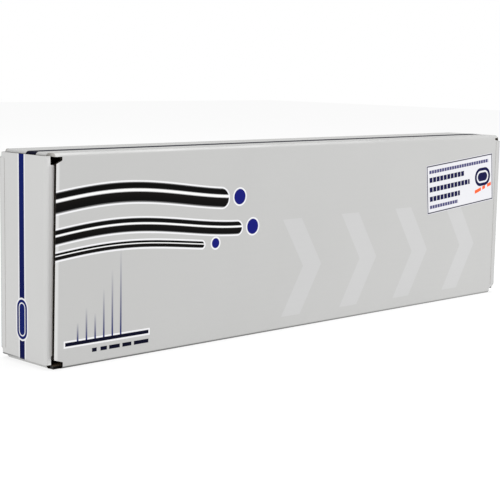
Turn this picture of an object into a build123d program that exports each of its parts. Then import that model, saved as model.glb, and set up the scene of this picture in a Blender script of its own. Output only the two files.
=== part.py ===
from build123d import *

import os
from math import cos, degrees, hypot, radians, sin, sqrt

# A reverse tuck end carton of micro-flute board, standing on its long narrow side.
# X runs along its length, Y from the front panel (-Y) to the back panel and Z up.
# The origin is the middle of the underside. All sizes are in millimetres.
#
# The blank is folded into a sleeve of four panels, and each end is closed by two
# dust flaps and one end leaf. The left leaf hangs on the back panel and tucks in
# behind the front one. The right end is the same, turned half a turn about Z.

# Overall size of the closed carton
length = 312.0
depth = 36.0
height = 90.0

# Board and folds: a fold's outer radius, and the play between two leaves that meet
board = 1.5
fold_radius = 1.7
play = 0.15

# Glued seam: a tab on the bottom panel, inside the back panel. The back panel's cut
# edge stands above the floor, and seam_lap is the bottom panel's edge beside the tab
seam_width = 14.0
seam_edge_rise = 1.0
seam_setback = 7.4
seam_lap = 0.8

# End leaves: set in from the panels beside them, and sloped away to their creases
leaf_top_inset = 1.2
leaf_bottom_inset = 2.0
crease_top_inset = 3.4
crease_bottom_inset = 4.6
shoulder_run = 2.2
crease_gap = 0.08

# Tuck flaps: each curls about its leaf's hinge, and leaves a slot in front of it.
# It is stepped in from its leaf's edges, a little behind the leaf
tuck_length = 15.0
tuck_slot = 0.9
tuck_start = 1.1
tuck_inset = 3.6
tuck_taper = 1.6
tuck_corner = 5.0

# Dust flaps
dust_length = 34.0
dust_hinge_gap = 3.2
dust_tuck_gap = 0.35
dust_taper = 3.5
dust_corner = 5.0

# Open edge of the panel that takes the tuck: it leans by open_edge_lean in its
# height, and its corners are relieved
open_edge = 3.1
open_edge_lean = 1.4
notch_run = 6.8
notch_rise = 3.0
notch_slant = 1.4

# Relief beside each leaf's crease, and how deep both kinds of relief go
crease_notch_run = 5.4
crease_notch_rise = 2.6
notch_depth = 2.0

# Paper label near the right end of the front panel, stuck on a little askew. Its
# gaps run from the carton's right end and top to the label's middle
label_width = 59.5
label_height = 26.5
label_thickness = 0.12
label_corner = 0.6
label_tilt = 5.0
label_right_gap = 36.3
label_top_gap = 25.5

# Places that follow from the sizes above
half_length = length / 2
half_depth = depth / 2
leaf_low = leaf_bottom_inset
leaf_high = height - leaf_top_inset
crease_low = crease_bottom_inset
crease_high = height - crease_top_inset
inner_radius = fold_radius - board
end_x = -half_length
dust_face_x = end_x + board + play
sleeve_end_x = dust_face_x + fold_radius
hinge_x = end_x + board / 2
hinge_y = half_depth - board / 2
knuckle_radius = hypot(fold_radius - board / 2, board / 2)
swing_radius = depth - board / 2 - board - tuck_slot
swing_inner = swing_radius - board
tuck_angle = degrees(tuck_length / swing_radius)
dust_back_y = half_depth - dust_hinge_gap
dust_front_y = hinge_y - swing_inner + dust_tuck_gap


def at_swing(radius, angle):
    """Point at a radius and angle about the left hinge, from straight ahead (-Y)."""
    turn = radians(angle)
    return (hinge_x + radius * sin(turn), hinge_y - radius * cos(turn))


def swing_crossing(radius, x):
    """Point where a circle about the left hinge crosses a line across the end."""
    return (x, hinge_y - sqrt(radius**2 - (x - hinge_x) ** 2))


# Left end leaf, in plan: crease, leaf and tuck flap are one strip of board
crease_mid = fold_radius * (1 - sqrt(0.5))
tuck_fold = swing_crossing(swing_radius, end_x)
tuck_fold_inside = swing_crossing(swing_inner, end_x + board)
with BuildPart() as left_leaf:
    with BuildSketch(Plane.XY.offset(leaf_low)) as leaf_section:
        with BuildLine():
            Line((end_x, half_depth - fold_radius), tuck_fold)
            ThreePointArc(
                tuck_fold,
                at_swing(swing_radius, tuck_angle / 2),
                at_swing(swing_radius, tuck_angle),
            )
            Line(at_swing(swing_radius, tuck_angle), at_swing(swing_inner, tuck_angle))
            ThreePointArc(
                at_swing(swing_inner, tuck_angle),
                at_swing(swing_inner, tuck_angle / 2),
                tuck_fold_inside,
            )
            Line(tuck_fold_inside, (end_x + board, half_depth - fold_radius))
            RadiusArc(
                (end_x + board, half_depth - fold_radius),
                (end_x + fold_radius, half_depth - board),
                inner_radius,
            )
            ThreePointArc(
                (end_x + fold_radius, half_depth - board),
                (hinge_x + knuckle_radius, hinge_y),
                (end_x + fold_radius, half_depth),
            )
            ThreePointArc(
                (end_x + fold_radius, half_depth),
                (end_x + crease_mid, half_depth - crease_mid),
                (end_x, half_depth - fold_radius),
            )
        make_face()
        for corner, radius in (
            (tuck_fold, fold_radius),
            (tuck_fold_inside, inner_radius),
        ):
            nearest = leaf_section.vertices().sort_by_distance((*corner, 0))[0]
            fillet(nearest, radius)
    extrude(amount=leaf_high - leaf_low)

    # The corners beside the crease slope away to it
    with BuildSketch(Plane.YZ.offset(end_x - play)):
        for edge, leaf_end, crease_end in (
            (0, leaf_low, crease_low),
            (height, leaf_high, crease_high),
        ):
            with BuildLine():
                Polyline(
                    (half_depth + play, edge),
                    (half_depth + play, crease_end),
                    (half_depth - fold_radius, crease_end),
                    (half_depth - shoulder_run, leaf_end),
                    (half_depth - shoulder_run, edge),
                    close=True,
                )
            make_face()
    extrude(amount=2 * play + fold_radius + board, mode=Mode.SUBTRACT)

    # The tuck flap is narrower than the leaf and tapers, and its free corners are round
    tip_x = at_swing(swing_radius, tuck_angle)[0]
    step_x = end_x + board + tuck_start
    tuck_low = leaf_low + tuck_inset
    tuck_high = leaf_high - tuck_inset
    with BuildSketch(Plane.XZ.offset(half_depth)):
        with Locations((step_x, height / 2)):
            Rectangle(2 * tuck_length, height, align=(Align.MIN, Align.CENTER))
        with BuildSketch(mode=Mode.SUBTRACT) as tuck_outline:
            with BuildLine():
                Polyline(
                    (end_x, tuck_low),
                    (step_x, tuck_low),
                    (tip_x, tuck_low + tuck_taper),
                    (tip_x, tuck_high - tuck_taper),
                    (step_x, tuck_high),
                    (end_x, tuck_high),
                    close=True,
                )
            make_face()
            fillet(tuck_outline.vertices().group_by(Axis.X)[-1], tuck_corner)
    extrude(amount=-half_depth, mode=Mode.SUBTRACT)
left_leaf.part.label = "left_leaf"

right_leaf = left_leaf.part.rotate(Axis.Z, 180)
right_leaf.label = "right_leaf"


# One dust flap, folded down from the top panel at the left end
with BuildPart() as dust_flap:
    with BuildSketch(Plane.XZ.offset(-dust_back_y)):
        with BuildLine():
            Line((sleeve_end_x, height), (sleeve_end_x, height - board))
            RadiusArc(
                (sleeve_end_x, height - board),
                (sleeve_end_x - inner_radius, height - fold_radius),
                -inner_radius,
            )
            Polyline(
                (sleeve_end_x - inner_radius, height - fold_radius),
                (sleeve_end_x - inner_radius, height - dust_length),
                (dust_face_x, height - dust_length),
                (dust_face_x, height - fold_radius),
            )
            RadiusArc(
                (dust_face_x, height - fold_radius),
                (sleeve_end_x, height),
                fold_radius,
            )
        make_face()
    extrude(amount=dust_back_y - dust_front_y)

    # Its sides taper to round corners
    with BuildSketch(Plane.YZ.offset(dust_face_x)) as dust_outline:
        with BuildLine():
            Polyline(
                (dust_front_y, height),
                (dust_front_y, height - dust_length / 2),
                (dust_front_y + dust_taper, height - dust_length),
                (dust_back_y - dust_taper, height - dust_length),
                (dust_back_y, height - dust_length / 2),
                (dust_back_y, height),
                close=True,
            )
        make_face()
        fillet(dust_outline.vertices().group_by(Axis.Y)[0], dust_corner)
    extrude(amount=fold_radius, mode=Mode.INTERSECT)


# What is cut from the sleeve at its left end
relief_top = height - board
with BuildPart() as left_cuts:
    # The top and bottom panels stop at the dust flaps' folds
    with BuildSketch(Plane.XY):
        with Locations((sleeve_end_x, 0)):
            Rectangle(2 * fold_radius, depth - 2 * notch_depth, align=(Align.MAX, Align.CENTER))
    extrude(amount=height)
    with BuildSketch(Plane.XY.offset(relief_top)):
        with Locations((sleeve_end_x, 0)):
            Rectangle(2 * fold_radius, depth, align=(Align.MAX, Align.CENTER))
    extrude(amount=board)

    # The front panel's open edge and its relieved corners, under the top fold
    with BuildSketch(Plane.XZ.offset(half_depth - notch_depth)):
        with BuildLine():
            Polyline(
                (end_x, 0),
                (end_x + notch_run, 0),
                (end_x + notch_run, notch_rise),
                (end_x + open_edge - open_edge_lean / 2, notch_rise + notch_slant),
                (end_x + open_edge + open_edge_lean / 2, height - notch_rise - notch_slant),
                (end_x + notch_run, height - notch_rise),
                (end_x + notch_run, relief_top),
                (end_x, relief_top),
                close=True,
            )
        make_face()
    extrude(amount=notch_depth)

    # The back panel's relief beside the crease, below and above
    with BuildSketch(Plane.XZ.offset(-half_depth)):
        for edge, relief_end, crease_end in (
            (0, crease_notch_rise, crease_low),
            (relief_top, height - crease_notch_rise, crease_high),
        ):
            with BuildLine():
                Polyline(
                    (end_x, edge),
                    (end_x + crease_notch_run, edge),
                    (end_x + crease_notch_run, relief_end),
                    (end_x, crease_end),
                    close=True,
                )
            make_face()
    extrude(amount=notch_depth)

    # The hollow that the leaf's crease turns in
    with Locations((hinge_x, hinge_y, 0)):
        Cylinder(
            knuckle_radius + crease_gap,
            height,
            align=(Align.CENTER, Align.CENTER, Align.MIN),
        )


# Carton body: the sleeve, its glued seam and the four dust flaps
seam_y = half_depth - board - fold_radius
with BuildPart() as carton_body:
    with BuildSketch(Plane.YZ):
        with Locations((0, height / 2)):
            RectangleRounded(depth, height, fold_radius)
            RectangleRounded(
                depth - 2 * board,
                height - 2 * board,
                inner_radius,
                mode=Mode.SUBTRACT,
            )
        # At the seam the back panel ends in a cut edge, and the fold is inside it
        with Locations((half_depth, 0)):
            Rectangle(
                board + fold_radius,
                fold_radius,
                align=(Align.MAX, Align.MIN),
                mode=Mode.SUBTRACT,
            )
        with Locations((half_depth, fold_radius)):
            Rectangle(board, fold_radius - seam_edge_rise, align=Align.MAX)
    extrude(amount=half_length - fold_radius, both=True)

    # The seam's fold and tab stop short of the corners
    with BuildSketch(Plane.YZ):
        with BuildLine():
            Line((seam_y, 0), (seam_y, board))
            RadiusArc((seam_y, board), (seam_y + inner_radius, fold_radius), -inner_radius)
            Line((seam_y + inner_radius, fold_radius), (seam_y + fold_radius, fold_radius))
            RadiusArc((seam_y + fold_radius, fold_radius), (seam_y, 0), fold_radius)
        make_face()
        with Locations((half_depth - board / 2, fold_radius)):
            Rectangle(board, fold_radius - seam_edge_rise, align=Align.MAX)
        with Locations((half_depth - board, fold_radius)):
            Rectangle(board, seam_width, align=(Align.MAX, Align.MIN))
    extrude(amount=half_length - seam_setback, both=True)

    # Beyond the tab's ends the bottom panel has a plain cut edge
    with BuildSketch(Plane.XY):
        with Locations((0, seam_y)):
            with GridLocations(length - seam_setback, 0, 2, 1):
                Rectangle(seam_setback, seam_lap, align=(Align.CENTER, Align.MIN))
    extrude(amount=board)

    for turn in (0, 180):
        add(left_cuts.part.rotate(Axis.Z, turn), mode=Mode.SUBTRACT)
    for turn in (0, 180):
        top_flap = dust_flap.part.rotate(Axis.Z, turn)
        add(top_flap)
        add(top_flap.mirror(Plane.XY.offset(height / 2)))
carton_body.part.label = "carton_body"


# Paper label on the front panel
with BuildPart() as label:
    with BuildSketch(Plane.XZ.offset(half_depth)):
        with Locations((half_length - label_right_gap, height - label_top_gap)):
            RectangleRounded(label_width, label_height, label_corner, rotation=label_tilt)
    extrude(amount=label_thickness)
label.part.label = "label"


os.makedirs("parts", exist_ok=True)
export_step(carton_body.part, "parts/carton_body.step")
export_step(left_leaf.part, "parts/left_leaf.step")
export_step(right_leaf, "parts/right_leaf.step")
export_step(label.part, "parts/label.step")
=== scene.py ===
"""Looks of a printed reverse tuck end carton of micro-flute board.

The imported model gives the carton, its two end leaves and its label. This script
gives them printed board and paper, and adds the outer liner that runs on over the
two creases. The carton's length is along X and its front panel faces -Y.
"""

from math import cos, pi, radians, sin

import bpy
from mathutils import Euler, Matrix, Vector


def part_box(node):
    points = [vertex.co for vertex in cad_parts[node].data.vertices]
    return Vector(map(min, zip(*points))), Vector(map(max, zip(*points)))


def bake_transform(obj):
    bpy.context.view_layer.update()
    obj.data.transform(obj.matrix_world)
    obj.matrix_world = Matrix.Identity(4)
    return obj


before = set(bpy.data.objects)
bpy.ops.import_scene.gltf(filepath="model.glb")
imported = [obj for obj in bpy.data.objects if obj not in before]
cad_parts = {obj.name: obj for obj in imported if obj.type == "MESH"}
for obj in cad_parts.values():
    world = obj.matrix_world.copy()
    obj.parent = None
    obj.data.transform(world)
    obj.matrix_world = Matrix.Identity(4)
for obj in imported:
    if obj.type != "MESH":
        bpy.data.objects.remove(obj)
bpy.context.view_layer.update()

MM = 0.001

# Places of the carton, in millimetres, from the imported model
body_low, body_high = (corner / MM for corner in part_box("carton_body"))
leaf_low, leaf_high = (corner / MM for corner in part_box("left_leaf"))
label_low, label_high = (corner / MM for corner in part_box("label"))
END_X = -leaf_low.x
FRONT_Y = body_low.y
SIDE_Y = -FRONT_Y
TOP_Z = body_high.z
MID_Z = TOP_Z / 2

# The board, its folds and its creases, and where the flat of each panel ends,
# out from the carton's middle
BOARD = 1.5
FOLD_RADIUS = 1.7
KNUCKLE_RADIUS = 1.3
CREASE_LOW = 4.6
CREASE_HIGH = 86.6
CREASE_MID = (CREASE_LOW + CREASE_HIGH) / 2
CREASE_HALF = CREASE_HIGH - CREASE_MID
FLAT_SIDE = SIDE_Y - FOLD_RADIUS
FLAT_RISE = MID_Z - FOLD_RADIUS

# Where the leaves turn and how far they reach, with a little room for facets
HINGE_X = END_X - BOARD / 2
HINGE_Y = SIDE_Y - BOARD / 2
SWING_RADIUS = HINGE_Y - leaf_low.y + 0.06
TUCK_TIP_X = -leaf_high.x + 0.1
SLEEVE_END = body_high.x - FOLD_RADIUS


# ---------------------------------------------------------------- colours
def srgb(red, green, blue):
    """A colour given in 0 to 255 steps, as the linear values that shaders take."""
    linear = []
    for step in (red, green, blue):
        share = step / 255
        if share <= 0.04045:
            linear.append(share / 12.92)
        else:
            linear.append(((share + 0.055) / 1.055) ** 2.4)
    return (*linear, 1)


def grey(step):
    """A neutral colour given in 0 to 255 steps."""
    return srgb(step, step, step)


BOARD_PRINT = srgb(184, 184, 183)
# The end leaves' board print, made lighter than the front's as painted light
END_PRINT_LIT = srgb(200, 200, 199)
PALE_PRINT = grey(190)
# Painted light on the tuck, lighter than the leaf
TUCK_PAINTED_LIGHT = srgb(238, 238, 237)
CREASE_SHADE = srgb(160, 160, 159)
# The inside's liner, darkened as painted shade
LINER_AND_SHADE = srgb(112, 98, 82)
# Cut edges: liners darkened as painted shade
SHADED_CUT_LINER = srgb(62, 56, 49)
# Cut edges at the top, painted pale as lit
LIT_CUT_EDGE = srgb(178, 176, 172)
# Painted shade in the flutes' hollows, and flute paper darkened as painted shade
FLUTE_SHADE = srgb(11, 10, 10)
SHADED_FLUTE_PAPER = srgb(58, 52, 46)
# Painted highlight on the upper long folds
FOLD_HIGHLIGHT_PAINT = srgb(214, 214, 213)
# Painted shade under the lower long folds and along the leaves' feet
UNDER_SHADE_PAINT = grey(96)
RUBBED_PRINT = srgb(206, 206, 205)
NAVY = srgb(6, 24, 94)
DEEP_NAVY = srgb(1, 8, 66)
INK = srgb(5, 7, 30)
WHITE_INK = srgb(226, 226, 228)
PLUG_BLUE = srgb(20, 24, 110)
LABEL_PAPER = srgb(216, 216, 220)
LABEL_INK = srgb(10, 12, 62)
LABEL_GREY_INK = srgb(72, 70, 112)
LABEL_RULE = srgb(72, 71, 84)
ORANGE = srgb(232, 96, 52)


# ---------------------------------------------------------------- node helpers
# Widths over which a mask fades, in millimetres: print, and edges of the board
PRINT_SOFT = 0.12
BOARD_SOFT = 0.05

# Board and label are matt
GLOSS = 0.03


class Surface:
    """A material, with helpers that work out masks from places in millimetres."""

    def __init__(self, name, roughness):
        self.material = bpy.data.materials.new(name)
        self.material.use_nodes = True
        self.nodes = self.material.node_tree.nodes
        self.links = self.material.node_tree.links
        self.shader = self.nodes["Principled BSDF"]
        self.shader.inputs["Roughness"].default_value = roughness
        self.shader.inputs["Specular IOR Level"].default_value = GLOSS
        place = self.nodes.new("ShaderNodeTexCoord")
        self.place = place.outputs["Object"]
        scaled = self.nodes.new("ShaderNodeVectorMath")
        scaled.operation = "SCALE"
        scaled.inputs["Scale"].default_value = 1 / MM
        self.links.new(self.place, scaled.inputs[0])
        split = self.nodes.new("ShaderNodeSeparateXYZ")
        self.links.new(scaled.outputs[0], split.inputs[0])
        self.x, self.y, self.z = split.outputs
        facing = self.nodes.new("ShaderNodeSeparateXYZ")
        self.links.new(place.outputs["Normal"], facing.inputs[0])
        self.facing_x, self.facing_y, self.facing_z = facing.outputs

    def calc(self, operation, *values, clamp=False):
        """One step of arithmetic on numbers or sockets."""
        node = self.nodes.new("ShaderNodeMath")
        node.operation = operation
        node.use_clamp = clamp
        for socket, value in zip(node.inputs, values):
            if isinstance(value, (int, float)):
                socket.default_value = value
            else:
                self.links.new(value, socket)
        return node.outputs[0]

    def inside(self, distance, reach, soft=PRINT_SOFT):
        """1 where a distance is under reach, and 0 beyond, over a soft edge."""
        return self.calc("MULTIPLY_ADD", distance, -1 / soft, reach / soft + 0.5, clamp=True)

    def apart(self, value, centre):
        """Distance from a centre, to either side."""
        return self.calc("ABSOLUTE", self.calc("SUBTRACT", value, centre))

    def band(self, value, low, high, soft=PRINT_SOFT):
        """1 between two limits."""
        return self.inside(self.apart(value, (low + high) / 2), (high - low) / 2, soft)

    def above(self, value, limit, soft=PRINT_SOFT):
        """1 where a value is over a limit."""
        return self.calc("MULTIPLY_ADD", value, 1 / soft, 0.5 - limit / soft, clamp=True)

    def beyond(self, value, limit):
        """How far a value is past a limit, and 0 before it."""
        return self.calc("MAXIMUM", self.calc("SUBTRACT", value, limit), 0.0)

    def faces(self, facing):
        """1 on faces that look along an axis, either way."""
        return self.above(self.calc("ABSOLUTE", facing), 0.5, 0.1)

    def outside(self, mask):
        """1 where a mask is 0, and the other way round."""
        return self.calc("SUBTRACT", 1.0, mask)

    def both(self, *masks):
        """1 where every mask is."""
        result = masks[0]
        for mask in masks[1:]:
            result = self.calc("MULTIPLY", result, mask)
        return result

    def either(self, *masks):
        """1 where any mask is."""
        result = masks[0]
        for mask in masks[1:]:
            result = self.calc("MAXIMUM", result, mask)
        return result

    def rectangle(self, across, low, high):
        """A box on the face whose axes are across and Z, between two corners."""
        sides = self.band(across, low[0], high[0])
        ends = self.band(self.z, low[1], high[1])
        return self.both(sides, ends)

    def reach(self, across, centre):
        """Distance from a point on the face whose axes are across and Z."""
        aside = self.calc("SUBTRACT", across, centre[0])
        above = self.calc("SUBTRACT", self.z, centre[1])
        return self.length(aside, above)

    def length(self, first, second):
        """Length of a run in two directions square to each other."""
        squares = self.calc("MULTIPLY", first, first)
        squares = self.calc("MULTIPLY_ADD", second, second, squares)
        return self.calc("SQRT", squares)

    def mix(self, mask, under, over):
        """One colour over another, where the mask is 1."""
        node = self.nodes.new("ShaderNodeMix")
        node.data_type = "RGBA"
        sockets = (node.inputs[0], node.inputs[6], node.inputs[7])
        for socket, value in zip(sockets, (mask, under, over)):
            if isinstance(value, (tuple, float)):
                socket.default_value = value
            else:
                self.links.new(value, socket)
        return node.outputs[2]

    def ramp(self, value, stops):
        """Colours at stops from 0 to 1, and what lies between them."""
        node = self.nodes.new("ShaderNodeValToRGB")
        elements = node.color_ramp.elements
        while len(elements) < len(stops):
            elements.new(0.5)
        for element, (place, colour) in zip(elements, stops):
            element.position = place
            element.color = colour
        self.links.new(value, node.inputs[0])
        return node.outputs[0]

    def noise(self, scale, detail=3.0, stretch=(1, 1, 1)):
        """Patches that stay the same from run to run."""
        mapping = self.nodes.new("ShaderNodeMapping")
        mapping.inputs["Scale"].default_value = stretch
        self.links.new(self.place, mapping.inputs[0])
        node = self.nodes.new("ShaderNodeTexNoise")
        node.inputs["Scale"].default_value = scale
        node.inputs["Detail"].default_value = detail
        self.links.new(mapping.outputs[0], node.inputs["Vector"])
        return node.outputs[0]

    def bump(self, height, distance, strength, normal=None):
        """A normal for fine relief, on top of another where one is given."""
        node = self.nodes.new("ShaderNodeBump")
        node.inputs["Strength"].default_value = strength
        node.inputs["Distance"].default_value = distance
        self.links.new(height, node.inputs["Height"])
        if normal:
            self.links.new(normal, node.inputs["Normal"])
        return node.outputs[0]

    def finish(self, colour, normal):
        """The finished material, with its colour and its relief."""
        self.links.new(colour, self.shader.inputs["Base Color"])
        self.links.new(normal, self.shader.inputs["Normal"])
        return self.material


# ---------------------------------------------------------------- board
FLUTE_PITCH = 3.3
LINER_THICKNESS = 0.16
WAVE_HALF_WIDTH = 0.11
WAVE_SOFT = 0.06
MOTTLE = 26
MOTTLE_DEPTH = 0.05
PAPER_GRAIN = 1400
GRAIN_DETAIL = 2.0
GRAIN_HEIGHT = 0.02
RIDGE_HEIGHT = 0.01
RELIEF = 0.5


def tint(surface, colour):
    """A printed colour, with the slight mottle of ink on board."""
    mottle = surface.noise(MOTTLE)
    shade = surface.calc("MULTIPLY_ADD", mottle, MOTTLE_DEPTH, 1 - MOTTLE_DEPTH / 2)
    node = surface.nodes.new("ShaderNodeVectorMath")
    node.operation = "SCALE"
    if isinstance(colour, tuple):
        node.inputs[0].default_value = colour[:3]
    else:
        surface.links.new(colour, node.inputs[0])
    surface.links.new(shade, node.inputs["Scale"])
    return node.outputs[0]


def paper_normal(surface):
    """Fine fibres, and the faint ridges of the flutes that run along the carton."""
    grain = surface.bump(surface.noise(PAPER_GRAIN, GRAIN_DETAIL), GRAIN_HEIGHT * MM, RELIEF)
    turns = surface.calc("MULTIPLY", surface.z, 2 * pi / FLUTE_PITCH)
    ridges = surface.calc("SINE", turns)
    return surface.bump(ridges, RIDGE_HEIGHT * MM, RELIEF, grain)


def flute_edge(surface, depth):
    """The board's cut edge: two liners and a wave of paper between them, all in painted shade."""
    turns = surface.calc("MULTIPLY", surface.z, 2 * pi / FLUTE_PITCH)
    reach = BOARD / 2 - LINER_THICKNESS
    wave = surface.calc("MULTIPLY_ADD", surface.calc("SINE", turns), reach, BOARD / 2)
    medium = surface.inside(surface.apart(depth, wave), WAVE_HALF_WIDTH, WAVE_SOFT)
    core = surface.mix(medium, FLUTE_SHADE, SHADED_FLUTE_PAPER)
    between = surface.inside(surface.apart(depth, BOARD / 2), reach, BOARD_SOFT)
    return surface.mix(between, SHADED_CUT_LINER, core)


# ---------------------------------------------------------------- artwork of the front panel
# Places run from the panel's left end and up from the floor, in millimetres.
# A white rim runs round every dark shape but the dashes and the bars.
RIM = 0.75

# Ribbons: start z, swing, half width and end x. The sheen runs from the lower edge up
RIBBON_WAVE = 150.0
RIBBONS = (
    (69.0, 3.2, 4.4, 96.0),
    (55.0, 3.0, 3.0, 106.0),
    (47.0, 2.6, 1.5, 84.0),
)
RIBBON_SHEEN = (
    (0.0, grey(150)),
    (0.08, grey(4)),
    (0.50, srgb(15, 13, 12)),
    (0.56, grey(236)),
    (0.64, grey(240)),
    (0.70, grey(4)),
    (0.94, grey(2)),
    (1.0, grey(110)),
)
RIBBON_DOT_GAP = 7.0
RIBBON_DOT = 3.6
RIBBON_DOT_EXTRA = 0.8

# Chevrons
CHEVRON_FIRST = 151.0
CHEVRON_PITCH = 42.0
CHEVRON_COUNT = 4
CHEVRON_WIDTH = 13.0
CHEVRON_SLOPE = 0.62
CHEVRON_LOW = 6.4
CHEVRON_HIGH = 53.8

# Bars on a base line, and a row of dashes below them
BASELINE = ((8.0, 9.3), (53.0, 10.9))
BAR_FIRST = 14.0
BAR_PITCH = 4.6
BAR_WIDTH = 0.9
BAR_FOOT = 0.5
BAR_HEIGHTS = (8.0, 14.0, 11.0, 21.0, 29.0, 38.0)
DASH_Z = (5.2, 6.9)
DASHES = ((22.0, 24.5), (26.5, 30.0), (31.2, 37.0), (38.4, 43.4), (44.8, 53.0))

# Stripes along the top and up the ends, and the badge on each end stripe
TOP_STRIPE = (-6.6, 0.6)
STRIPE_WIDTH = 3.6
END_STRIPE_Y = 1.4
BADGE_LOW = 10.5
BADGE_HIGH = 27.5
BADGE_HALF_WIDTH = 3.6
BADGE_RING_INSET = 1.5
BADGE_RING_HALF = 0.25


def ribbons(surface, colour, along):
    """Swaying metallic ribbons from the left edge, each led by a blue dot."""
    turns = surface.calc("MULTIPLY", along, 2 * pi / RIBBON_WAVE)
    sway = surface.calc("SINE", turns)
    for start_z, swing, half_width, end in RIBBONS:
        middle = surface.calc("MULTIPLY_ADD", sway, swing, start_z)
        off = surface.calc("SUBTRACT", surface.z, middle)
        past = surface.beyond(along, end)
        far = surface.length(off, past)
        colour = surface.mix(surface.inside(far, half_width + RIM), colour, WHITE_INK)
        shape = surface.inside(far, half_width)
        across = surface.calc("MULTIPLY_ADD", off, 0.5 / half_width, 0.5)
        colour = surface.mix(shape, colour, surface.ramp(across, RIBBON_SHEEN))
        dot_x = end + half_width + RIBBON_DOT_GAP
        dot_z = start_z + swing * sin(2 * pi * end / RIBBON_WAVE)
        reach = surface.reach(along, (dot_x, dot_z))
        radius = min(RIBBON_DOT, half_width + RIBBON_DOT_EXTRA)
        colour = surface.mix(surface.inside(reach, radius + RIM), colour, WHITE_INK)
        colour = surface.mix(surface.inside(reach, radius), colour, PLUG_BLUE)
    return colour


def chevrons(surface, colour, along):
    """Large pale chevrons, tone on tone."""
    middle = (CHEVRON_LOW + CHEVRON_HIGH) / 2
    rise = surface.apart(surface.z, middle)
    sheared = surface.calc("MULTIPLY_ADD", rise, CHEVRON_SLOPE, along)
    rows = surface.band(surface.z, CHEVRON_LOW, CHEVRON_HIGH)
    for count in range(CHEVRON_COUNT):
        left = CHEVRON_FIRST + count * CHEVRON_PITCH
        shape = surface.both(rows, surface.band(sheared, left, left + CHEVRON_WIDTH))
        colour = surface.mix(shape, colour, PALE_PRINT)
    return colour


def bar_chart(surface, colour, along):
    """A dark base line with thin bars that fade upwards, and a row of short dashes."""
    (left, low), (right, base_z) = BASELINE
    rim = surface.rectangle(along, (left - RIM, low - RIM), (right + RIM, base_z + RIM))
    colour = surface.mix(rim, colour, WHITE_INK)
    for count, rise in enumerate(BAR_HEIGHTS):
        left = BAR_FIRST + count * BAR_PITCH
        column = surface.band(along, left, left + BAR_WIDTH)
        top = base_z + rise
        fade = surface.calc("MULTIPLY_ADD", surface.z, -1 / rise, top / rise, clamp=True)
        shape = surface.both(column, surface.above(surface.z, base_z - BAR_FOOT), fade)
        colour = surface.mix(shape, colour, NAVY)
    colour = surface.mix(surface.rectangle(along, *BASELINE), colour, INK)
    for left, right in DASHES:
        dash = surface.rectangle(along, (left, DASH_Z[0]), (right, DASH_Z[1]))
        colour = surface.mix(dash, colour, INK)
    return colour


def badge(surface, colour, across):
    """A plain round-ended badge on the end stripe, with a white line inside it."""
    low = BADGE_LOW + BADGE_HALF_WIDTH
    high = BADGE_HIGH - BADGE_HALF_WIDTH
    past = surface.beyond(surface.apart(surface.z, (low + high) / 2), (high - low) / 2)
    far = surface.length(surface.calc("SUBTRACT", across, END_STRIPE_Y), past)
    colour = surface.mix(surface.inside(far, BADGE_HALF_WIDTH + RIM), colour, WHITE_INK)
    colour = surface.mix(surface.inside(far, BADGE_HALF_WIDTH), colour, NAVY)
    ring_radius = BADGE_HALF_WIDTH - BADGE_RING_INSET
    ring = surface.inside(surface.apart(far, ring_radius), BADGE_RING_HALF)
    return surface.mix(ring, colour, WHITE_INK)


def stripe_ink(surface):
    """The stripe's navy, deeper towards the floor."""
    rise = surface.calc("MULTIPLY", surface.z, 1 / TOP_Z, clamp=True)
    return surface.mix(rise, DEEP_NAVY, NAVY)


# ---------------------------------------------------------------- body
# How far the mask of a printed face reaches into the board, how much room the masks
# of the cut edges leave beside a fold, and how far they reach past the board's ends
# and past its inner face
SKIN = 0.3
EDGE_ROOM = 0.1
FACET_ROOM = 0.05
DEPTH_ROOM = 0.08

# Print rubbed pale beside the panels' open edges, which lean
OPEN_EDGE = 2.4
OPEN_EDGE_LEAN = 1.4
RUBBED_RUN = 1.6
RUBBED_SOFT = 0.9

# Painted highlight along the upper long folds, in patches: where it starts round the
# fold, as a share of the fold's radius, how patchy it is, and how it fades along the carton
FOLD_HIGHLIGHT_FROM = 0.4
FOLD_HIGHLIGHT_SOFT = 0.5
HIGHLIGHT_PATCHES = 90
HIGHLIGHT_DETAIL = 4.0
HIGHLIGHT_STRETCH = (0.2, 1, 1)
HIGHLIGHT_GAIN = 2.4
HIGHLIGHT_OFFSET = -0.6
HIGHLIGHT_FADE = 90.0
HIGHLIGHT_END = 215.0
# How the painted shade under the lower folds fades along the carton
UNDER_SHADE_FADE = 700.0


def rubbed_board(surface, side, end):
    """Plain board, with its print rubbed pale beside the panels' open edges."""
    open_side = surface.above(surface.calc("MULTIPLY", surface.x, surface.y), 0.0)
    edge = surface.calc("MULTIPLY_ADD", surface.z, -OPEN_EDGE_LEAN / TOP_Z, END_X - OPEN_EDGE)
    by_edge = surface.both(
        open_side,
        surface.inside(surface.calc("SUBTRACT", edge, end), RUBBED_RUN, RUBBED_SOFT),
        surface.above(side, SIDE_Y - SKIN),
    )
    return surface.mix(by_edge, BOARD_PRINT, RUBBED_PRINT)


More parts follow.
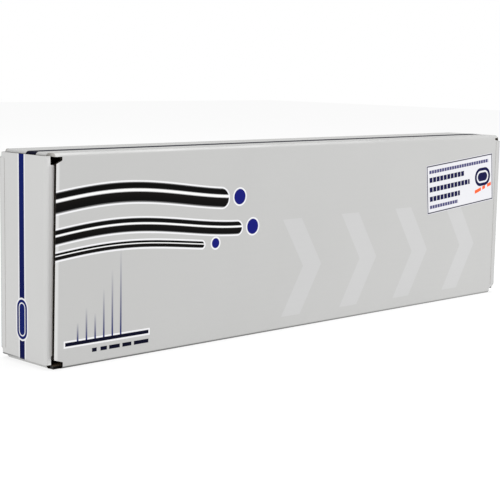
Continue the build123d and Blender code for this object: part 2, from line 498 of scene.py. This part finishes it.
def fold_highlight_and_shade(surface, colour, along, side, rise):
    """Long folds: a painted highlight in patches above, and painted shade below."""
    highlight_from = FOLD_RADIUS * FOLD_HIGHLIGHT_FROM
    on_fold = surface.both(
        surface.above(side, FLAT_SIDE + highlight_from, FOLD_HIGHLIGHT_SOFT),
        surface.above(rise, FLAT_RISE + highlight_from, FOLD_HIGHLIGHT_SOFT),
    )
    patches = surface.noise(HIGHLIGHT_PATCHES, HIGHLIGHT_DETAIL, HIGHLIGHT_STRETCH)
    highlight = surface.calc("MULTIPLY_ADD", patches, HIGHLIGHT_GAIN, HIGHLIGHT_OFFSET, clamp=True)
    fade = surface.calc("MULTIPLY_ADD", along, -1 / HIGHLIGHT_FADE, HIGHLIGHT_END / HIGHLIGHT_FADE, clamp=True)
    upper = surface.above(surface.z, MID_Z)
    # Painted highlight on the upper folds, in patches that fade along the carton
    colour = surface.mix(surface.both(on_fold, highlight, fade, upper), colour, FOLD_HIGHLIGHT_PAINT)
    # Painted shade under the lower folds, fading along the carton
    under_shade = surface.calc("MULTIPLY_ADD", along, -1 / UNDER_SHADE_FADE, 1.0)
    return surface.mix(surface.both(on_fold, surface.outside(upper), under_shade), colour, UNDER_SHADE_PAINT)


def body_cuts(surface, side, rise, end):
    """Faces of the body where its board is cut, from the outer face to the inner one."""
    facing_end = surface.faces(surface.facing_x)
    # Front and back panels, at the ends and in the reliefs
    panels = surface.either(
        surface.both(facing_end, surface.above(side, FLAT_SIDE - SKIN)),
        surface.both(
            surface.faces(surface.facing_z),
            surface.above(side, FLAT_SIDE + EDGE_ROOM),
            surface.inside(rise, FLAT_RISE - EDGE_ROOM),
        ),
    )
    # Top and bottom panels, and the dust flaps on them
    caps = surface.either(
        surface.both(surface.faces(surface.facing_y), surface.inside(side, FLAT_SIDE + EDGE_ROOM)),
        surface.both(facing_end, surface.inside(end, SLEEVE_END + FACET_ROOM)),
    )
    on_cap = surface.above(rise, FLAT_RISE + EDGE_ROOM)
    return surface.either(panels, surface.both(caps, on_cap)), on_cap


def body_material():
    """Printed board of the body: artwork in front, a stripe on top, liner inside."""
    surface = Surface("printed_board_body", roughness=0.5)
    along = surface.calc("ADD", surface.x, END_X)
    end = surface.calc("ABSOLUTE", surface.x)
    side = surface.calc("ABSOLUTE", surface.y)
    rise = surface.apart(surface.z, MID_Z)
    depth = surface.length(surface.beyond(side, FLAT_SIDE), surface.beyond(rise, FLAT_RISE))
    depth = surface.calc("SUBTRACT", FOLD_RADIUS, depth)

    board = rubbed_board(surface, side, end)
    front = chevrons(surface, board, along)
    front = ribbons(surface, front, along)
    front = bar_chart(surface, front, along)
    on_front = surface.outside(surface.above(surface.y, FRONT_Y + SKIN))
    colour = surface.mix(on_front, board, front)
    on_top = surface.above(surface.z, TOP_Z - FOLD_RADIUS)
    top_stripe = surface.band(surface.y, *TOP_STRIPE)
    colour = surface.mix(surface.both(on_top, top_stripe), colour, INK)
    colour = fold_highlight_and_shade(surface, colour, along, side, rise)

    # Inside: liner darkened as painted shade, on every face that looks into the carton
    within = surface.both(
        surface.above(depth, BOARD - EDGE_ROOM, BOARD_SOFT),
        surface.outside(surface.above(end, END_X - BOARD - SKIN, BOARD_SOFT)),
    )
    colour = surface.mix(within, colour, LINER_AND_SHADE)

    # Cut edges show the flutes in painted shade; those at the top are painted pale as lit,
    # and printed over
    cut, on_cap = body_cuts(surface, side, rise, end)
    cut = surface.both(cut, surface.inside(depth, BOARD + DEPTH_ROOM))
    lit_cut = surface.both(on_cap, surface.above(surface.z, MID_Z))
    lit_cut_edge = surface.mix(top_stripe, LIT_CUT_EDGE, INK)
    edge = surface.mix(lit_cut, flute_edge(surface, depth), lit_cut_edge)
    colour = surface.mix(cut, colour, edge)
    return surface.finish(tint(surface, colour), paper_normal(surface))


# ---------------------------------------------------------------- leaves and creases
# Painted light on the tuck past the fold between it and the leaf, growing away from the fold
TUCK_SKIN = 0.4
TUCK_LIGHT_FROM = 2.0
TUCK_LIGHT_SOFT = 2.0

# Painted shade along the leaf's foot, which grows towards the hinge
FOOT_RISE = 0.55
FOOT_SOFT = 0.3
FOOT_START = 0.2
FOOT_GROWTH = 0.05

# How far from the hinge the cut edges beside the crease start, and the bend's shade
CREASE_REACH = 2.3
BEND_SHARE = 0.8
BEND_SOFT = 0.8


def leaf_material(name, turn):
    """Printed board of an end leaf, with its stripe. turn is 1 at the left, -1 at the right."""
    surface = Surface(name, roughness=0.5)
    across = surface.calc("MULTIPLY", surface.y, turn)
    outward = surface.calc("MULTIPLY", surface.x, -turn)
    from_hinge = surface.length(
        surface.calc("SUBTRACT", outward, HINGE_X),
        surface.calc("SUBTRACT", across, HINGE_Y),
    )
    depth = surface.calc("SUBTRACT", END_X, outward)
    depth = surface.calc("MINIMUM", depth, surface.calc("SUBTRACT", SWING_RADIUS, from_hinge))

    half = STRIPE_WIDTH / 2
    off_stripe = surface.apart(across, END_STRIPE_Y)
    printed = surface.mix(surface.inside(off_stripe, half + RIM), END_PRINT_LIT, WHITE_INK)
    printed = surface.mix(surface.inside(off_stripe, half), printed, stripe_ink(surface))
    printed = badge(surface, printed, across)
    colour = surface.mix(surface.above(outward, END_X - SKIN), END_PRINT_LIT, printed)

    # The tuck's face in painted light, and painted shade along the leaf's foot
    tuck_light = surface.both(
        surface.above(from_hinge, SWING_RADIUS - TUCK_SKIN),
        surface.inside(outward, END_X - TUCK_LIGHT_FROM, TUCK_LIGHT_SOFT),
    )
    colour = surface.mix(tuck_light, colour, TUCK_PAINTED_LIGHT)
    foot_shade = surface.both(
        surface.inside(surface.z, leaf_low.z + FOOT_RISE, FOOT_SOFT),
        surface.calc("MULTIPLY_ADD", across, FOOT_GROWTH, FOOT_START, clamp=True),
    )
    colour = surface.mix(foot_shade, colour, UNDER_SHADE_PAINT)

    # The inside and the knuckle are liner darkened as painted shade, and the cut edges show
    # the flutes in painted shade
    inner = surface.either(
        surface.above(depth, BOARD - EDGE_ROOM, BOARD_SOFT),
        surface.inside(from_hinge, KNUCKLE_RADIUS),
    )
    colour = surface.mix(inner, colour, LINER_AND_SHADE)
    off_crease = surface.apart(surface.z, CREASE_MID)
    edges = surface.either(
        surface.faces(surface.facing_z),
        surface.both(
            surface.faces(surface.facing_y),
            surface.above(across, HINGE_Y - CREASE_REACH),
            surface.above(off_crease, CREASE_HALF - FACET_ROOM),
        ),
        surface.both(
            surface.above(from_hinge, SWING_RADIUS - BOARD),
            surface.inside(outward, TUCK_TIP_X),
        ),
    )
    colour = surface.mix(edges, colour, flute_edge(surface, depth))
    return surface.finish(tint(surface, colour), paper_normal(surface))


def crease_material():
    """Printed board for the liner over a crease, with painted shade along the bend."""
    surface = Surface("printed_board_crease", roughness=0.5)
    end = surface.calc("ABSOLUTE", surface.x)
    side = surface.calc("ABSOLUTE", surface.y)
    bend = surface.both(
        surface.above(end, END_X - FOLD_RADIUS * BEND_SHARE, BEND_SOFT),
        surface.above(side, SIDE_Y - FOLD_RADIUS * BEND_SHARE, BEND_SOFT),
    )
    colour = surface.mix(surface.above(end, END_X - FOLD_RADIUS / 2), BOARD_PRINT, END_PRINT_LIT)
    # Painted shade along the bend
    colour = surface.mix(bend, colour, CREASE_SHADE)
    return surface.finish(tint(surface, colour), paper_normal(surface))


def liner_material():
    """The inner face of the liner over a crease, darkened as painted shade."""
    surface = Surface("board_liner", roughness=0.6)
    return surface.finish(tint(surface, LINER_AND_SHADE), paper_normal(surface))


# ---------------------------------------------------------------- label
# Places run along the label from its left end, and up from its lower edge.
LABEL_WIDTH = 59.5
LABEL_HEIGHT = 26.5
LABEL_TILT = radians(5)
LABEL_RULE_GAP = 0.3
LABEL_RULE_WIDTH = 0.65
LABEL_GRAIN_HEIGHT = 0.01
LABEL_RELIEF = 0.4

# Rows of dashes: height above the lower edge, dash height, right end, pitch and ink
LABEL_ROWS_LEFT = 2.4
LABEL_DASH_SHARE = 0.84
LABEL_DASH_SOFT = 0.08
LABEL_ROWS = (
    (21.8, 1.8, 55.5, 2.2, LABEL_GREY_INK),
    (17.0, 2.7, 33.0, 3.1, LABEL_INK),
    (11.8, 2.7, 38.0, 3.1, LABEL_INK),
    (6.7, 2.7, 29.0, 3.1, LABEL_INK),
    (2.8, 1.8, 27.0, 2.2, LABEL_GREY_INK),
)

# A round-ended badge with a pale ring in it, and leaning strokes below
LABEL_BADGE = (50.0, 14.2)
LABEL_BADGE_RUN = 2.0
LABEL_BADGE_RADIUS = 5.1
LABEL_RING_RADIUS = 2.9
LABEL_RING_HALF = 0.5
STROKES = ((42.6, 48.4), (49.6, 52.2), (54.2, 57.8))
STROKE_Z = 5.4
STROKE_HEIGHT = 1.9
STROKE_LEAN = 0.2


def label_material():
    """White label paper with a thin rule, rows of dashes, a badge and orange strokes."""
    surface = Surface("label_paper_print", roughness=0.4)
    middle = (label_low + label_high) / 2
    aside = surface.calc("SUBTRACT", surface.x, middle.x)
    above = surface.calc("SUBTRACT", surface.z, middle.z)
    across = surface.calc("MULTIPLY_ADD", aside, cos(LABEL_TILT), LABEL_WIDTH / 2)
    across = surface.calc("MULTIPLY_ADD", above, sin(LABEL_TILT), across)
    rise = surface.calc("MULTIPLY_ADD", aside, -sin(LABEL_TILT), LABEL_HEIGHT / 2)
    rise = surface.calc("MULTIPLY_ADD", above, cos(LABEL_TILT), rise)

    def box(low, high):
        return surface.both(
            surface.band(across, low[0], high[0]),
            surface.band(rise, low[1], high[1]),
        )

    gap = LABEL_RULE_GAP
    inner = gap + LABEL_RULE_WIDTH
    frame_outside = box((gap, gap), (LABEL_WIDTH - gap, LABEL_HEIGHT - gap))
    frame_inside = box((inner, inner), (LABEL_WIDTH - inner, LABEL_HEIGHT - inner))
    colour = surface.mix(frame_outside, LABEL_PAPER, LABEL_RULE)
    colour = surface.mix(frame_inside, colour, LABEL_PAPER)
    along_row = surface.calc("SUBTRACT", across, LABEL_ROWS_LEFT)
    for low, height, right, pitch, ink in LABEL_ROWS:
        row = box((LABEL_ROWS_LEFT, low), (right, low + height))
        step = surface.calc("FRACT", surface.calc("MULTIPLY", along_row, 1 / pitch))
        dashes = surface.inside(step, LABEL_DASH_SHARE, LABEL_DASH_SOFT)
        colour = surface.mix(surface.both(row, dashes), colour, ink)
    past = surface.beyond(surface.apart(across, LABEL_BADGE[0]), LABEL_BADGE_RUN)
    far = surface.length(past, surface.calc("SUBTRACT", rise, LABEL_BADGE[1]))
    colour = surface.mix(surface.inside(far, LABEL_BADGE_RADIUS), colour, LABEL_INK)
    ring = surface.inside(surface.apart(far, LABEL_RING_RADIUS), LABEL_RING_HALF)
    colour = surface.mix(ring, colour, LABEL_PAPER)
    along_stroke = surface.calc("SUBTRACT", across, STROKES[0][0])
    leaning = surface.calc("MULTIPLY_ADD", along_stroke, -STROKE_LEAN, rise)
    level = surface.band(leaning, STROKE_Z, STROKE_Z + STROKE_HEIGHT)
    for left, right in STROKES:
        stroke = surface.both(level, surface.band(across, left, right))
        colour = surface.mix(stroke, colour, ORANGE)
    grain = surface.noise(PAPER_GRAIN, GRAIN_DETAIL)
    return surface.finish(colour, surface.bump(grain, LABEL_GRAIN_HEIGHT * MM, LABEL_RELIEF))


# ---------------------------------------------------------------- liner over the creases
# How proud of the board the skin lies, its thickness, how far it runs on past the bend,
# its facets, and its gap to the reliefs
CREASE_LIFT = 0.03
CREASE_SKIN = 0.06
CREASE_RUN = 2.6
CREASE_STEPS = 12
CREASE_CLEAR = 0.2


def crease_profile(lift):
    """Outer surface from the panel round the crease to the leaf, at the left end."""
    centre = Vector((-END_X + FOLD_RADIUS, SIDE_Y - FOLD_RADIUS))
    radius = FOLD_RADIUS + lift
    points = [centre + Vector((CREASE_RUN, radius))]
    for step in range(CREASE_STEPS + 1):
        angle = pi / 2 * (1 + step / CREASE_STEPS)
        points.append(centre + radius * Vector((cos(angle), sin(angle))))
    points.append(centre + Vector((-radius, -CREASE_RUN)))
    return points


def crease_mesh(name, turn, looks):
    """A thin closed skin round one crease. Its looks are its outer face's and its inner one's."""
    outer = crease_profile(CREASE_LIFT + CREASE_SKIN)
    inner = crease_profile(CREASE_LIFT)
    loop = outer + inner[::-1]
    vertices = []
    for z in (CREASE_LOW + CREASE_CLEAR, CREASE_HIGH - CREASE_CLEAR):
        vertices += [(turn * point.x * MM, turn * point.y * MM, z * MM) for point in loop]
    count = len(loop)
    half = len(outer)
    faces = []
    for corner in range(count):
        after = (corner + 1) % count
        faces.append((corner, corner + count, after + count, after))
    for step in range(half - 1):
        near = (step, step + 1, count - 2 - step, count - 1 - step)
        faces.append(near)
        faces.append(tuple(corner + count for corner in reversed(near)))
    mesh = bpy.data.meshes.new(name)
    mesh.from_pydata(vertices, [], faces)
    mesh.validate()
    for look in looks:
        mesh.materials.append(look)
    for polygon in mesh.polygons[half - 1 : count]:
        polygon.material_index = 1
    return mesh


def crease(name, turn, looks):
    """The outer liner over one crease, curved round it from the carton to its leaf."""
    piece = bpy.data.objects.new(name, crease_mesh(name, turn, looks))
    bpy.context.scene.collection.objects.link(piece)
    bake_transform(piece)


def dress(node, material):
    """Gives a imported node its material."""
    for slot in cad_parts[node].material_slots:
        slot.link = "OBJECT"
        slot.material = material


dress("carton_body", body_material())
dress("left_leaf", leaf_material("printed_board_left", 1))
dress("right_leaf", leaf_material("printed_board_right", -1))
dress("label", label_material())
crease_looks = (crease_material(), liner_material())
crease("left_crease", 1, crease_looks)
crease("right_crease", -1, crease_looks)


# ---------------------------------------------------------------- stage, light and camera
FLOOR_HALF = 3.0
CAMERA_PLACE = (-0.46888, -0.45511, 0.12682)
CAMERA_TURN = (82.008, -1.037, -44.211)
CAMERA_LENS = 94.844
SENSOR = 36.0
WHITE = (1, 1, 1, 1)
FLOOR_GREY = (0.25, 0.25, 0.25, 1)
FLOOR_GLOW = 0.78
ROOM_LIGHT = 0.70
# (name, place, point that it faces, side, power)
SOFTBOXES = (
    ("left_softbox", (-1.1, -0.35, 0.35), (-0.1, 0, 0.05), 0.5, 2.7),
    ("right_softbox", (0.75, -0.75, 0.4), (0.1, 0, 0.05), 0.8, 6.2),
    ("top_softbox", (0.1, 0.2, 1.2), (0.05, 0, 0.05), 0.8, 6.2),
)


def floor():
    """A plain pale floor, which glows a little so that shadows on it stay soft."""
    mesh = bpy.data.meshes.new("floor")
    half = FLOOR_HALF
    corners = [(-half, -half, 0), (half, -half, 0), (half, half, 0), (-half, half, 0)]
    mesh.from_pydata(corners, [], [(0, 1, 2, 3)])
    material = bpy.data.materials.new("floor")
    material.use_nodes = True
    shader = material.node_tree.nodes["Principled BSDF"]
    shader.inputs["Base Color"].default_value = FLOOR_GREY
    shader.inputs["Roughness"].default_value = 0.9
    shader.inputs["Specular IOR Level"].default_value = 0.0
    shader.inputs["Emission Color"].default_value = WHITE
    shader.inputs["Emission Strength"].default_value = FLOOR_GLOW
    mesh.materials.append(material)
    piece = bpy.data.objects.new("floor", mesh)
    bpy.context.scene.collection.objects.link(piece)


def lamp(name, place, aim, size, power):
    """A square area light that faces a point."""
    data = bpy.data.lights.new(name, "AREA")
    data.shape = "SQUARE"
    data.size = size
    data.energy = power
    light = bpy.data.objects.new(name, data)
    light.location = place
    light.rotation_euler = (Vector(aim) - Vector(place)).to_track_quat("-Z", "Y").to_euler()
    bpy.context.scene.collection.objects.link(light)


def studio():
    """A white backdrop, dimmer light all round, and softboxes left, right and above."""
    scene = bpy.context.scene
    world = bpy.data.worlds.new("studio")
    scene.world = world
    world.use_nodes = True
    nodes = world.node_tree.nodes
    links = world.node_tree.links
    around = nodes["Background"]
    around.inputs["Color"].default_value = WHITE
    around.inputs["Strength"].default_value = ROOM_LIGHT
    backdrop = nodes.new("ShaderNodeBackground")
    backdrop.inputs["Color"].default_value = WHITE
    path = nodes.new("ShaderNodeLightPath")
    mix = nodes.new("ShaderNodeMixShader")
    links.new(path.outputs["Is Camera Ray"], mix.inputs[0])
    links.new(around.outputs[0], mix.inputs[1])
    links.new(backdrop.outputs[0], mix.inputs[2])
    links.new(mix.outputs[0], nodes["World Output"].inputs["Surface"])
    for softbox in SOFTBOXES:
        lamp(*softbox)
    scene.view_settings.view_transform = "Standard"


def camera():
    """A long lens, from the front and the left end."""
    data = bpy.data.cameras.new("camera")
    data.sensor_width = SENSOR
    data.lens = CAMERA_LENS
    data.clip_start = 0.01
    view = bpy.data.objects.new("camera", data)
    view.location = CAMERA_PLACE
    view.rotation_euler = Euler([radians(turn) for turn in CAMERA_TURN])
    bpy.context.scene.collection.objects.link(view)
    bpy.context.scene.camera = view


floor()
studio()
camera()
